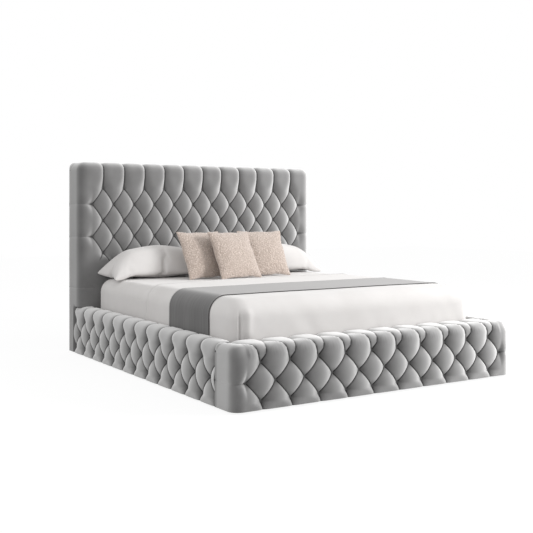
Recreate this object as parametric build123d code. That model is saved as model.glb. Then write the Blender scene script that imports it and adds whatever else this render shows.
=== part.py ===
"""Upholstered bed with a deep-buttoned headboard, side rails and footboard.

Millimetres, +Z up, +Y towards the headboard, origin on the floor under the centre of the bed.
Each separate piece of the bed is written to its own STEP file in parts/.
"""
import os

from build123d import *

os.makedirs("parts", exist_ok=True)

# Mattress and the room that the bedding needs around it
mattress_width = 1800.0
mattress_length = 2000.0
mattress_depth = 285.0
mattress_corner = 90.0
mattress_edge = 60.0
mattress_base_depth = 45.0
mattress_comfort_depth = 70.0
side_gap = 18.0
head_gap = 8.0
foot_gap = 20.0
rest_clearance = 0.3

# Side rails, from the mattress outwards
rail_lining = 6.0
rail_board = 36.0
rail_pad = 38.0
rail_puff = 34.0
rail_height = 355.0
top_pad = 40.0
top_puff = 30.0
lining_bottom = 245.0
pad_bottom = 10.0
board_bottom = 14.0

# Footboard, from the mattress outwards
foot_beam = 100.0
foot_board = 18.0
foot_pad = 56.0
foot_puff = 38.0

# Headboard, from the wall forwards
head_height = 1420.0
head_panel = 9.0
head_frame = 70.0
head_board = 12.0
head_pad = 84.0
head_puff = 40.0
head_top_pad = 40.0
head_top_puff = 35.0
head_side_pad = 45.0
head_apron_bottom = 290.0
head_lift = 1.0

# Deep buttoning
button_radius = 11.0
button_height = 9.0
button_round = 5.0
pleat_gap = 2.5
tip_gap = 15.0
sink = 6.0
rail_pitch_aim = 178.0
rail_row_low = 52.0
rail_row_step = 101.5
foot_columns = 10
foot_corner = 87.0
head_columns = 11
head_wing = 108.0
head_row_drop = 191.0
head_row_step = 120.5
corner_radius = 62.0
back_corner_radius = 64.0
pleat_slope = 44.0

# Slatted base
ledge_width = 40.0
ledge_height = 40.0
slat_thickness = 12.0
slat_width = 64.0
slat_count = 15
slat_seat = 18.0
slat_margin = 70.0
holder_depth = 32.0
holder_wall = 5.0
holder_grip = 28.0
fit_clearance = 0.4
beam_width = 70.0
beam_height = 40.0
leg_radius = 22.0
leg_glide_radius = 25.0
leg_glide_height = 8.0
glide_radius = 16.0

# Fixings
bolt_radius = 5.0
bolt_head_radius = 9.0
bolt_head_height = 6.0
bolt_clearance = 0.5
insert_radius = 8.0
insert_length = 22.0
insert_clearance = 0.2
bracket_thickness = 5.0
bracket_arm = 90.0
bracket_bottom = 60.0
bracket_top = 225.0
head_leg_width = 70.0
cross_rail_low = 160.0
hanger_thickness = 4.0
hanger_drop = 60.0
hanger_seat = 60.0

# Bedding
sheet_thickness = 2.0
coverlet_thickness = 8.0
runner_thickness = 2.0
layer_clearance = 0.3
drop_bottom = 300.0
coverlet_length = 1181.5
runner_start = 256.5
runner_width = 510.0

# Pillows and scatter cushions
pillow_width = 820.0
pillow_depth = 350.0
pillow_height = 240.0
pillow_inset = 85.0
pillow_back_gap = 8.0
cushion_size = 390.0
cushion_depth = 104.0
cushion_lean = 27.0

# Positions that follow from the sizes
rail_inner = mattress_width / 2 + side_gap
board_inner = rail_inner + rail_lining
board_outer = board_inner + rail_board
rail_floor = board_outer + rail_pad
half_width = rail_floor + rail_puff
foot_depth = rail_lining + foot_beam + foot_pad + foot_puff
head_depth = head_panel + head_frame + head_board + head_pad + head_puff
half_length = (head_depth + head_gap + mattress_length + foot_gap + foot_depth) / 2
head_panel_y = half_length - head_panel
head_frame_y = head_panel_y - head_frame
head_board_y = head_frame_y - head_board
head_floor_y = head_board_y - head_pad
head_crest_y = head_floor_y - head_puff
mattress_y = head_crest_y - head_gap - mattress_length / 2
mattress_foot_y = mattress_y - mattress_length / 2
foot_inner_y = -half_length + foot_depth
foot_board_y = foot_inner_y - rail_lining
foot_beam_y = foot_board_y - foot_beam
foot_floor_y = foot_beam_y - foot_pad
rail_top_floor = rail_height - top_puff
board_top = rail_top_floor - top_pad
ledge_top = lining_bottom
slat_bottom = ledge_top + slat_seat
slat_top = slat_bottom + slat_thickness
mattress_bottom = slat_top + rest_clearance
mattress_top = mattress_bottom + mattress_depth
rail_rows = [rail_row_low, rail_row_low + rail_row_step, rail_row_low + 2 * rail_row_step]
rail_length = head_panel_y - foot_inner_y
rail_pitches = round(rail_length / rail_pitch_aim - 0.5) + 0.5
rail_columns = int(rail_pitches + 0.5)
rail_pitch = rail_length / rail_pitches
foot_pitch = 2 * (half_width - foot_corner) / foot_columns
head_pitch = 2 * (half_width - head_wing) / head_columns
head_row_top = head_height - head_row_drop
head_rows = [head_row_top - row * head_row_step for row in range(6)]
head_top_floor = head_height - head_top_puff
head_cavity_top = head_top_floor - head_top_pad
head_cavity_x = half_width - head_side_pad
wing_bottom = rail_height + head_lift

UP = Vector(0, 0, 1)
FRONT = Vector(0, -1, 0)
ACROSS = Vector(1, 0, 0)
ALONG = Vector(0, 1, 0)
OUT = Vector(1, 0, 0)


def save(shape, name):
    export_step(shape, f"parts/{name}.step")


def block(x0, x1, y0, y1, z0, z1):
    return Pos((x0 + x1) / 2, (y0 + y1) / 2, (z0 + z1) / 2) * Box(x1 - x0, y1 - y0, z1 - z0)


def rod(x, y, z, radius, length, axis):
    """A round bar that starts at a point and runs along an axis."""
    return Solid.make_cylinder(radius, length, Plane(origin=(x, y, z), z_dir=axis))


def pleat_section(centre, along, out, half, crown):
    """One slice of a stuffed fold: an arc over a base that is sunk into the padding."""
    left = centre - along * half
    right = centre + along * half
    low_right = right - out * sink
    low_left = left - out * sink
    return Wire([
        Edge.make_three_point_arc(left, centre + out * crown, right),
        Edge.make_line(right, low_right),
        Edge.make_line(low_right, low_left),
        Edge.make_line(low_left, left),
    ])


def stuffed(slices):
    return Solid.make_loft([pleat_section(*one) for one in slices], ruled=True)


def diamond(place, along, up, out, half, rise, drop, crown, first, last):
    """A stuffed diamond between four buttons, cut off at the ends of the panel."""
    flat = half * tip_gap / max(rise, drop)
    steps = [-half + tip_gap, -half * 0.55, -flat, flat, half * 0.55, half - tip_gap]
    if first > -half:
        steps = [first] + [step for step in steps if step > first + flat]
    if last < half:
        steps = [step for step in steps if step < last - flat] + [last]
    slices = []
    for step in steps:
        share = 1 - abs(step) / half
        high = min(rise * share - pleat_gap, rise - tip_gap)
        low = min(drop * share - pleat_gap, drop - tip_gap)
        centre = place + along * step + up * ((high - low) / 2)
        chord = (high + low) / 2
        lift = min(crown * (1 - (1 - share) ** 2.2), chord * 0.9)
        slices.append((centre, up, out, chord, lift))
    return stuffed(slices)


def fold_down(place, along, up, out, half, tip, shoulder, foot, crown):
    """A fold that widens from a button and runs straight to the bottom edge."""
    near = tip - tip_gap
    share = tip_gap / abs(shoulder - tip)
    wide = half - pleat_gap
    slices = [
        (place + up * near, along, out, max(wide * share, 6), crown * 0.3),
        (place + up * (tip + (shoulder - tip) * 0.6), along, out, wide * 0.6, crown * 0.85),
        (place + up * shoulder, along, out, half - tip_gap, crown),
        (place + up * (shoulder - 1.6 * tip_gap), along, out, wide, crown),
        (place + up * foot, along, out, wide, crown * 0.75),
    ]
    return stuffed(slices)


def fold_over(place, along, up, out, half, tip, shoulder, edge, back, crown, top_crown):
    """A fold that widens from a button, turns over the top edge and runs back to the inner side."""
    wide = half - pleat_gap
    corner = (up + out).normalized()
    lead = tip + tip_gap
    share = tip_gap / (shoulder - tip)
    slices = [(place + up * lead, along, out, max(wide * share, 6), crown * 0.3)]
    slices.append((place + up * (tip + (shoulder - tip) * 0.6), along, out, wide * 0.6, crown * 0.85))
    if edge - shoulder > 40:
        slices.append((place + up * shoulder, along, out, half - tip_gap, crown))
        slices.append((place + up * (shoulder + 1.6 * tip_gap), along, out, wide, crown))
        slices.append((place + up * (edge - 24), along, out, wide, crown))
    bend = place + up * (edge - 8) - out * 8
    slices.append((bend, along, corner, wide, (crown + top_crown) / 2))
    slices.append((place + up * edge - out * 24, along, up, wide, top_crown))
    slices.append((place + up * edge - out * back, along, up, wide, top_crown * 0.8))
    return stuffed(slices)


def corner_block(levels, back, crest, floor, wall, x_out):
    """A plain padded corner whose inner edge follows the outermost pleats."""
    wires = []
    for z, inner, inset in levels:
        side = x_out - inset
        face = crest + inset
        turn = corner_radius - inset * 0.5
        middle = turn * (1 - 0.70710678)
        fall = floor - face
        points = [
            Vector(side, back, z),
            Vector(side, face + turn, z),
            Vector(side - turn, face, z),
            Vector(inner + pleat_slope, face, z),
            Vector(inner, floor, z),
            Vector(inner, floor + sink, z),
            Vector(wall, floor + sink, z),
            Vector(wall, back, z),
        ]
        round_over = Vector(side - middle, face + middle, z)
        half_way = Vector(inner + pleat_slope * 0.42, face + fall * 0.28, z)
        wires.append(Wire([
            Edge.make_line(points[0], points[1]),
            Edge.make_three_point_arc(points[1], round_over, points[2]),
            Edge.make_line(points[2], points[3]),
            Edge.make_three_point_arc(points[3], half_way, points[4]),
            Edge.make_line(points[4], points[5]),
            Edge.make_line(points[5], points[6]),
            Edge.make_line(points[6], points[7]),
            Edge.make_line(points[7], points[0]),
        ]))
    return Solid.make_loft(wires, ruled=True)


def button_at(place, out):
    """A covered button: a short drum with a rounded face, standing on the padding."""
    drum = Solid.make_cylinder(button_radius, button_height, Plane(origin=(0, 0, 0), z_dir=(0, 0, 1)))
    rim = drum.edges().sort_by(Axis.Z)[-1]
    dome = drum.fillet(button_round, [rim])
    return Plane(origin=place, z_dir=out).location * dome


def mirrored(shape):
    return mirror(shape, about=Plane.YZ)


def one_solid(base, additions):
    return Part() + base.fuse(*additions).solids()


# Headboard cover: padding, stuffed diamonds, wings and the folds over the top
head_half = head_pitch / 2
odd_columns = [(i - (head_columns - 1) / 2) * head_pitch for i in range(head_columns)]
even_columns = [(i - head_columns / 2) * head_pitch for i in range(head_columns + 1)]
inner_even = even_columns[1:-1]
padding = block(-head_cavity_x - 6, head_cavity_x + 6, head_floor_y, head_panel_y, wing_bottom, head_top_floor)
edge_line = padding.edges().filter_by(Axis.X).sort_by(lambda e: e.center().Z - e.center().Y)[-1]
padding = fillet(edge_line, 20)
padding = padding - block(-head_cavity_x, head_cavity_x, head_board_y, head_panel_y, wing_bottom, head_cavity_top)
apron_x = rail_inner - 4
padding = padding + block(-apron_x, apron_x, head_floor_y, head_board_y, head_apron_bottom, wing_bottom)
diamonds = []
for x in odd_columns:
    for row in (1, 3):
        place = Vector(x, head_floor_y, head_rows[row])
        diamonds.append(diamond(place, ACROSS, UP, FRONT, head_half, head_row_step, head_row_step,
                                head_puff, -head_half, head_half))
for x in inner_even:
    for row in (2, 4):
        place = Vector(x, head_floor_y, head_rows[row])
        diamonds.append(diamond(place, ACROSS, UP, FRONT, head_half, head_row_step, head_row_step,
                                head_puff, -head_half, head_half))
for x in inner_even:
    place = Vector(x, head_floor_y, 0)
    diamonds.append(fold_over(place, ACROSS, UP, FRONT, head_half, head_rows[1], head_rows[0],
                              head_top_floor, head_panel_y - head_floor_y, head_puff, head_top_puff))
for x in odd_columns[1:-1]:
    place = Vector(x, head_floor_y, 0)
    diamonds.append(fold_down(place, ACROSS, UP, FRONT, head_half, head_rows[4], head_rows[5],
                              head_apron_bottom, head_puff))
outer_odd = odd_columns[-1] + pleat_gap
outer_even = even_columns[-1] + pleat_gap
lower_even = inner_even[-1] + pleat_gap
wing_levels = [
    (wing_bottom, lower_even, 0),
    (head_rows[5], lower_even + tip_gap, 0),
    (head_rows[4], outer_odd + tip_gap, 0),
    (head_rows[3], outer_even + tip_gap, 0),
    (head_rows[2], outer_odd + tip_gap, 0),
    (head_rows[1], outer_even + tip_gap, 0),
    (head_rows[0], outer_odd + tip_gap, 0),
    (head_top_floor - 24, outer_odd, 0),
    (head_height - 18, outer_odd, 6),
    (head_height, outer_odd, 24),
]
wing = corner_block(wing_levels, head_panel_y, head_crest_y, head_floor_y, head_cavity_x, half_width)
wing_top = block(outer_odd, head_cavity_x + 4, head_floor_y, head_panel_y, head_top_floor - 8, head_height - 4)
wing_top = fillet(wing_top.edges().filter_by(Axis.Y).sort_by(Axis.Z)[-2:].sort_by(Axis.X)[0], 28)
head_cover = one_solid(padding, diamonds + [wing, mirrored(wing), wing_top, mirrored(wing_top)])
save(head_cover, "headboard_cover")

head_buttons = []
for row, z in enumerate(head_rows):
    columns = odd_columns if row % 2 == 0 else even_columns
    if row == 5:
        columns = inner_even
    for x in columns:
        head_buttons.append(button_at((x, head_floor_y, z), FRONT))
save(Compound(children=head_buttons), "headboard_buttons")

# Headboard structure: legs, plates, studs, front board and back panel
leg_outer = rail_inner
leg_inner = leg_outer - head_leg_width
plate_low = wing_bottom + 4
plate_height = 50.0
leg_bolt_y = head_panel_y - head_frame / 2
leg_bolt_heights = [82.0, 132.0]
leg_solid = block(leg_inner, leg_outer, head_frame_y, head_panel_y, board_bottom, plate_low)
for z in leg_bolt_heights:
    leg_solid = leg_solid - rod(leg_inner - 1, leg_bolt_y, z, bolt_radius + bolt_clearance, head_leg_width + 2, ACROSS)
save(mirrored(leg_solid), "headboard_leg_left")
save(leg_solid, "headboard_leg_right")
save(block(-head_cavity_x, head_cavity_x, head_frame_y, head_panel_y, plate_low, plate_low + plate_height),
     "headboard_bottom_plate")
save(block(-head_cavity_x, head_cavity_x, head_frame_y, head_panel_y, head_cavity_top - plate_height, head_cavity_top),
     "headboard_top_plate")
stud_width = 60.0
stud_count = 5
stud_span = 2 * head_cavity_x - stud_width
studs = []
for i in range(stud_count):
    x = -stud_span / 2 + stud_span * i / (stud_count - 1)
    studs.append(block(x - stud_width / 2, x + stud_width / 2, head_frame_y, head_panel_y,
                       plate_low + plate_height, head_cavity_top - plate_height))
save(Compound(children=studs), "headboard_studs")
save(block(-leg_inner, leg_inner, head_frame_y, head_panel_y, cross_rail_low, lining_bottom), "headboard_cross_rail")
front_board = block(-head_cavity_x, head_cavity_x, head_board_y, head_frame_y, wing_bottom, head_cavity_top)
front_board = front_board + block(-apron_x, apron_x, head_board_y, head_frame_y, slat_bottom, wing_bottom)
save(front_board, "headboard_front_board")
back_panel = block(-half_width, half_width, head_panel_y, half_length, pad_bottom, head_height)
upper_corners = back_panel.edges().filter_by(Axis.Y).sort_by(Axis.Z)[-2:]
back_panel = fillet(upper_corners, back_corner_radius)
save(back_panel, "headboard_back_panel")

# Side rails: board, cover with stuffed diamonds, buttons and slat ledge
rail_half = rail_pitch / 2
rail_edge = rail_top_floor
rail_cover = block(rail_inner, rail_floor, foot_inner_y, head_panel_y, pad_bottom, rail_top_floor)
edge_line = rail_cover.edges().filter_by(Axis.Y).sort_by(lambda e: e.center().Z + e.center().X)[-1]
rail_cover = fillet(edge_line, 20)
rail_cover = rail_cover - block(rail_inner, board_outer, foot_inner_y, head_panel_y, pad_bottom, lining_bottom)
rail_cover = rail_cover - block(board_inner, board_outer, foot_inner_y, head_panel_y, lining_bottom, board_top)
low_columns = [foot_inner_y + rail_pitch * i for i in range(rail_columns)]
mid_columns = [foot_inner_y + rail_pitch * (i + 0.5) for i in range(rail_columns)]
low_row, mid_row, high_row = rail_rows
rail_folds = []
for y in low_columns:
    first = max(foot_inner_y - y, -rail_half)
    last = min(head_panel_y - y, rail_half)
    rail_folds.append(diamond(Vector(rail_floor, y, mid_row), ALONG, UP, OUT, rail_half, rail_row_step,
                              rail_row_step, rail_puff, first, last))
for y in mid_columns:
    first = max(foot_inner_y - y, -rail_half)
    last = min(head_panel_y - y, rail_half)
    rail_folds.append(diamond(Vector(rail_floor, y, high_row), ALONG, UP, OUT, rail_half, rail_edge - high_row,
                              rail_row_step, rail_puff, first, last))
for y in mid_columns[:-1]:
    rail_folds.append(fold_down(Vector(rail_floor, y, 0), ALONG, UP, OUT, rail_half, mid_row, low_row,
                                pad_bottom, rail_puff))
last_fold = mid_columns[-1] - rail_half / 2 - pleat_gap / 2
rail_folds.append(fold_down(Vector(rail_floor, last_fold, 0), ALONG, UP, OUT, rail_half / 2 - pleat_gap,
                            mid_row, low_row, pad_bottom, rail_puff))
for y in low_columns[1:]:
    rail_folds.append(fold_over(Vector(rail_floor, y, 0), ALONG, UP, OUT, rail_half, high_row, rail_edge,
                                rail_edge, rail_floor - rail_inner, rail_puff, top_puff))
first_fold = foot_inner_y + rail_half / 2 + pleat_gap / 2
rail_folds.append(fold_over(Vector(rail_floor, first_fold, 0), ALONG, UP, OUT, rail_half / 2 - pleat_gap, high_row,
                            rail_edge, rail_edge, rail_floor - rail_inner, rail_puff, top_puff))
rail_cover = one_solid(rail_cover, rail_folds)
save(rail_cover, "rail_cover_right")
save(mirrored(rail_cover), "rail_cover_left")

rail_buttons = []
for y in low_columns[1:]:
    rail_buttons.append(button_at((rail_floor, y, low_row), OUT))
    rail_buttons.append(button_at((rail_floor, y, high_row), OUT))
for y in mid_columns[:-1]:
    rail_buttons.append(button_at((rail_floor, y, mid_row), OUT))
save(Compound(children=rail_buttons), "rail_buttons_right")
save(Compound(children=[mirrored(one) for one in rail_buttons]), "rail_buttons_left")

rail_bolt_y = foot_inner_y + bracket_arm * 0.62
rail_bolt_heights = [95.0, 190.0]
rail_timber = block(board_inner, board_outer, foot_inner_y, head_panel_y, board_bottom, board_top)
for z in rail_bolt_heights:
    rail_timber = rail_timber - rod(board_inner - 1, rail_bolt_y, z, insert_radius + insert_clearance,
                                    insert_length + 1, OUT)
for z in leg_bolt_heights:
    rail_timber = rail_timber - rod(board_inner - 1, leg_bolt_y, z, insert_radius + insert_clearance,
                                    insert_length + 1, OUT)
save(rail_timber, "rail_board_right")
save(mirrored(rail_timber), "rail_board_left")

ledge_x = board_inner - ledge_width
ledge_y0 = foot_board_y + bracket_arm
ledge_y1 = head_frame_y - 20
ledge = block(ledge_x, board_inner, ledge_y0, ledge_y1, ledge_top - ledge_height, ledge_top)
save(ledge, "slat_ledge_right")
save(mirrored(ledge), "slat_ledge_left")

# Footboard: boards, spacers, cover with stuffed diamonds and plain corners, buttons
foot_half = foot_pitch / 2
foot_odd = [(i - (foot_columns - 1) / 2) * foot_pitch for i in range(foot_columns)]
foot_even = [(i - foot_columns / 2) * foot_pitch for i in range(foot_columns + 1)]
foot_edge = rail_top_floor
foot_side = board_outer
foot_cover = block(-foot_side - 6, foot_side + 6, foot_floor_y, foot_inner_y, pad_bottom, rail_top_floor)
edge_line = foot_cover.edges().filter_by(Axis.X).sort_by(lambda e: e.center().Z - e.center().Y)[-1]
foot_cover = fillet(edge_line, 20)
foot_cover = foot_cover - block(-foot_side, foot_side, foot_beam_y, foot_inner_y, pad_bottom, lining_bottom)
foot_cover = foot_cover - block(-foot_side, foot_side, foot_beam_y, foot_board_y, lining_bottom, board_top)
foot_folds = []
for x in foot_odd:
    foot_folds.append(diamond(Vector(x, foot_floor_y, mid_row), ACROSS, UP, FRONT, foot_half, rail_row_step,
                              rail_row_step, foot_puff, -foot_half, foot_half))
for x in foot_even[1:-1]:
    foot_folds.append(diamond(Vector(x, foot_floor_y, high_row), ACROSS, UP, FRONT, foot_half,
                              foot_edge - high_row, rail_row_step, foot_puff, -foot_half, foot_half))
    foot_folds.append(fold_down(Vector(x, foot_floor_y, 0), ACROSS, UP, FRONT, foot_half, mid_row, low_row,
                                pad_bottom, foot_puff))
for x in foot_odd:
    foot_folds.append(fold_over(Vector(x, foot_floor_y, 0), ACROSS, UP, FRONT, foot_half, high_row, foot_edge,
                                foot_edge, foot_inner_y - foot_floor_y, foot_puff, top_puff))
foot_outer = foot_odd[-1] + pleat_gap
foot_tip = foot_even[-1] + pleat_gap
corner_levels = [
    (pad_bottom, foot_outer, 0),
    (low_row, foot_outer + tip_gap, 0),
    (mid_row, foot_tip + tip_gap, 0),
    (high_row, foot_outer + tip_gap, 0),
    (foot_edge, foot_tip - 8, 0),
    (rail_height - 12, foot_tip - 4, 6),
    (rail_height, foot_tip, 20),
]
corner = corner_block(corner_levels, foot_inner_y, -half_length, foot_floor_y, foot_side, half_width)
foot_cover = one_solid(foot_cover, foot_folds + [corner, mirrored(corner)])
save(foot_cover, "footboard_cover")

foot_buttons = []
for x in foot_odd:
    foot_buttons.append(button_at((x, foot_floor_y, low_row), FRONT))
    foot_buttons.append(button_at((x, foot_floor_y, high_row), FRONT))
for x in foot_even:
    foot_buttons.append(button_at((x, foot_floor_y, mid_row), FRONT))
save(Compound(children=foot_buttons), "footboard_buttons")

foot_bolt_x = board_inner - bracket_arm * 0.62
inner_board = block(-foot_side, foot_side, foot_board_y - foot_board, foot_board_y, board_bottom, board_top)
for z in rail_bolt_heights:
    for side in (-1, 1):
        inner_board = inner_board - rod(side * foot_bolt_x, foot_board_y - foot_board - 1, z,
                                        bolt_radius + bolt_clearance, foot_board + 2, ALONG)
save(inner_board, "footboard_inner_board")
save(block(-foot_side, foot_side, foot_beam_y, foot_beam_y + foot_board, board_bottom, board_top),
     "footboard_outer_board")
spacer_y0 = foot_beam_y + foot_board
spacer_y1 = foot_board_y - foot_board
save(block(-foot_side, foot_side, spacer_y0, spacer_y1, board_top - foot_board, board_top), "footboard_cap_board")
spacers = []
spacer_places = [-0.9, -0.45, 0.0, 0.45, 0.9]
spacer_width = 60.0
for place in spacer_places:
    x = place * (foot_side - spacer_width) if abs(place) < 0.9 else (foot_side - spacer_width / 2) * place / 0.9
    spacers.append(block(x - spacer_width / 2, x + spacer_width / 2, spacer_y0, spacer_y1, board_bottom,
                         board_top - foot_board))
save(Compound(children=spacers), "footboard_spacers")

# Corner fixings: angle brackets at the foot, plates and bolts at the headboard legs
angle = block(board_inner - bracket_thickness, board_inner, foot_board_y, foot_board_y + bracket_arm,
              bracket_bottom, bracket_top)
angle = angle + block(board_inner - bracket_arm, board_inner, foot_board_y, foot_board_y + bracket_thickness,
                      bracket_bottom, bracket_top)
for z in rail_bolt_heights:
    angle = angle - rod(board_inner - bracket_thickness - 1, rail_bolt_y, z, bolt_radius + bolt_clearance,
                        bracket_thickness + 2, OUT)
    angle = angle - rod(foot_bolt_x, foot_board_y - 1, z, bolt_radius + bolt_clearance, bracket_thickness + 2, ALONG)
save(angle, "corner_bracket_right")
save(mirrored(angle), "corner_bracket_left")


def bolt(x, y, z, axis, length):
    shank = rod(x, y, z, bolt_radius, length, axis)
    start = Vector(x, y, z) - Vector(*axis) * bolt_head_height
    head = rod(start.X, start.Y, start.Z, bolt_head_radius, bolt_head_height, axis)
    return (Part() + shank + head).solids()[0]


def sleeve(x, y, z, axis, length, outer):
    inner = bolt_radius + insert_clearance
    return rod(x, y, z, outer, length, axis) - rod(x, y, z, inner, length, axis)


rail_bolts = [bolt(board_inner - bracket_thickness, rail_bolt_y, z, (1, 0, 0), bracket_thickness + insert_length - 2)
              for z in rail_bolt_heights]
save(Compound(children=rail_bolts + [mirrored(one) for one in rail_bolts]), "rail_bracket_bolts")
foot_bolts = [bolt(foot_bolt_x, foot_board_y + bracket_thickness, z, (0, -1, 0), bracket_thickness + foot_board + 14)
              for z in rail_bolt_heights]
save(Compound(children=foot_bolts + [mirrored(one) for one in foot_bolts]), "footboard_bracket_bolts")
nuts = [sleeve(foot_bolt_x, foot_board_y - foot_board, z, (0, -1, 0), 9, 9.5) for z in rail_bolt_heights]
save(Compound(children=nuts + [mirrored(one) for one in nuts]), "footboard_bracket_nuts")
leg_bolts = [bolt(leg_inner, leg_bolt_y, z, (1, 0, 0), head_leg_width + rail_lining + insert_length - 2)
             for z in leg_bolt_heights]
save(Compound(children=leg_bolts + [mirrored(one) for one in leg_bolts]), "headboard_leg_bolts")
inserts = [sleeve(board_inner, rail_bolt_y, z, (1, 0, 0), insert_length, insert_radius) for z in rail_bolt_heights]
inserts += [sleeve(board_inner, leg_bolt_y, z, (1, 0, 0), insert_length, insert_radius) for z in leg_bolt_heights]
save(Compound(children=inserts + [mirrored(one) for one in inserts]), "rail_threaded_inserts")
leg_plate = block(rail_inner, board_inner, head_frame_y + 4, head_panel_y - 4, bracket_bottom, bracket_top)
for z in leg_bolt_heights:
    leg_plate = leg_plate - rod(rail_inner - 1, leg_bolt_y, z, bolt_radius + bolt_clearance, rail_lining + 2, OUT)
save(Compound(children=[leg_plate, mirrored(leg_plate)]), "headboard_leg_plates")

# Slatted base: centre beam on hangers and legs, slats in holders
beam_bottom = ledge_top - beam_height
save(block(-beam_width / 2, beam_width / 2, foot_board_y, head_frame_y, beam_bottom, ledge_top), "centre_beam")
hanger_half = beam_width / 2 + 8


def hanger(wall_y, way):
    plate_y = sorted([wall_y, wall_y + way * hanger_thickness])
    seat_y = sorted([wall_y, wall_y + way * hanger_seat])
    plate = block(-hanger_half, hanger_half, *plate_y, beam_bottom - hanger_drop, beam_bottom)
    seat = block(-hanger_half, hanger_half, *seat_y, beam_bottom - hanger_thickness, beam_bottom)
    return plate + seat


hangers = [hanger(foot_board_y, 1), hanger(head_frame_y, -1)]
save(Compound(children=[one.solids()[0] for one in hangers]), "centre_beam_hangers")
leg_step = mattress_length * 0.31
leg_places = [mattress_y - leg_step, mattress_y, mattress_y + leg_step]
legs = [rod(0, y, leg_glide_height, leg_radius, beam_bottom - leg_glide_height, (0, 0, 1)) for y in leg_places]
save(Compound(children=legs), "centre_legs")
leg_glides = [rod(0, y, 0, leg_glide_radius, leg_glide_height, (0, 0, 1)) for y in leg_places]
save(Compound(children=leg_glides), "centre_leg_glides")

slat_outer = ledge_x + holder_depth - holder_wall
slat_inner = holder_wall / 2 + fit_clearance
slat_first = mattress_y - mattress_length / 2 + slat_margin
slat_last = mattress_y + mattress_length / 2 - slat_margin
slat_step = (slat_last - slat_first) / (slat_count - 1)
slat_places = [slat_first + slat_step * i for i in range(slat_count)]
holder_half = slat_width / 2 + fit_clearance + holder_wall
slot_half = slat_width / 2 + fit_clearance
right_slats = [block(slat_inner, slat_outer, y - slat_width / 2, y + slat_width / 2, slat_bottom, slat_top)
               for y in slat_places]
save(Compound(children=right_slats), "slats_right")
save(Compound(children=[mirrored(one) for one in right_slats]), "slats_left")
outer_holders = []
centre_holders = []
for y in slat_places:
    shoe = block(ledge_x, ledge_x + holder_depth, y - holder_half, y + holder_half, ledge_top, slat_top)
    shoe = shoe - block(ledge_x - 1, slat_outer + fit_clearance, y - slot_half, y + slot_half, slat_bottom, slat_top + 1)
    outer_holders.append(shoe.solids()[0])
    saddle = block(-holder_grip, holder_grip, y - holder_half, y + holder_half, ledge_top, slat_top)
    for side in (-1, 1):
        edges = sorted([side * holder_wall / 2, side * (holder_grip + 1)])
        saddle = saddle - block(*edges, y - slot_half, y + slot_half, slat_bottom, slat_top + 1)
    centre_holders.append(saddle.solids()[0])
save(Compound(children=outer_holders), "slat_holders_right")
save(Compound(children=[mirrored(one) for one in outer_holders]), "slat_holders_left")
save(Compound(children=centre_holders), "slat_holders_centre")

# Glides under the rails, the footboard and the headboard legs
board_middle = (board_inner + board_outer) / 2
glide_spots = [(board_middle, y) for y in (foot_inner_y + 250, mattress_y, head_crest_y - 60)]
glide_spots += [((leg_inner + leg_outer) / 2, leg_bolt_y)]
glide_spots += [(foot_side - spacer_width / 2, (spacer_y0 + spacer_y1) / 2)]
glides = []
for x, y in glide_spots:
    glides.append(rod(x, y, 0, glide_radius, board_bottom, (0, 0, 1)))
    glides.append(rod(-x, y, 0, glide_radius, board_bottom, (0, 0, 1)))
glides.append(rod(0, (spacer_y0 + spacer_y1) / 2, 0, glide_radius, board_bottom, (0, 0, 1)))
save(Compound(children=glides), "floor_glides")


# Mattress in three layers, with the sheet, the coverlet and the runner over it
def bed_block(grow, low):
    outline = RectangleRounded(mattress_width + 2 * grow, mattress_length + 2 * grow, mattress_corner + grow)
    height = mattress_top + grow - low
    solid = Pos(0, mattress_y, low) * extrude(outline, height)
    rim = solid.faces().sort_by(Axis.Z)[-1].edges()
    return fillet(rim, mattress_edge + grow)


room = 2 * half_length
mattress = bed_block(0, mattress_bottom)
cut_low = mattress_bottom + mattress_base_depth
cut_high = mattress_top - mattress_comfort_depth
save(mattress & block(-room, room, -room, room, 0, cut_low), "mattress_base_layer")
save(mattress & block(-room, room, -room, room, cut_low, cut_high), "mattress_spring_core")
save(mattress & block(-room, room, -room, room, cut_high, head_height), "mattress_comfort_layer")
sheet_inner = layer_clearance
sheet_outer = sheet_inner + sheet_thickness
fitted_sheet = bed_block(sheet_outer, drop_bottom) - bed_block(sheet_inner, drop_bottom)
save(fitted_sheet, "fitted_sheet")
coverlet_inner = sheet_outer + layer_clearance
coverlet_outer = coverlet_inner + coverlet_thickness
coverlet = bed_block(coverlet_outer, drop_bottom) - bed_block(coverlet_inner, drop_bottom)
coverlet_head = mattress_foot_y + coverlet_length
save(coverlet & block(-room, room, -room, coverlet_head, 0, head_height), "coverlet")
runner_inner = coverlet_outer + layer_clearance
runner_outer = runner_inner + runner_thickness
runner = bed_block(runner_outer, drop_bottom) - bed_block(runner_inner, drop_bottom)
runner_foot = mattress_foot_y + runner_start
runner_head = runner_foot + runner_width
save(runner & block(-room, room, runner_foot, runner_head, 0, head_height), "bed_runner")
sheet_top = mattress_top + sheet_outer


# Pillows and cushions: crowned, with drawn-in sides between the corners
def soft_outline(half_x, half_y, draw_x, draw_y, z):
    a = Vector(-half_x, -half_y, z)
    b = Vector(half_x, -half_y, z)
    c = Vector(half_x, half_y, z)
    d = Vector(-half_x, half_y, z)
    return Wire([
        Edge.make_three_point_arc(a, Vector(0, -half_y + draw_y, z), b),
        Edge.make_three_point_arc(b, Vector(half_x - draw_x, 0, z), c),
        Edge.make_three_point_arc(c, Vector(0, half_y - draw_y, z), d),
        Edge.make_three_point_arc(d, Vector(-half_x + draw_x, 0, z), a),
    ])


def soft_half(half_x, half_y, steps):
    wires = [soft_outline(half_x * sx, half_y * sy, half_x * dx, half_y * dy, z) for sx, sy, dx, dy, z in steps]
    return Solid.make_loft(wires)


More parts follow.
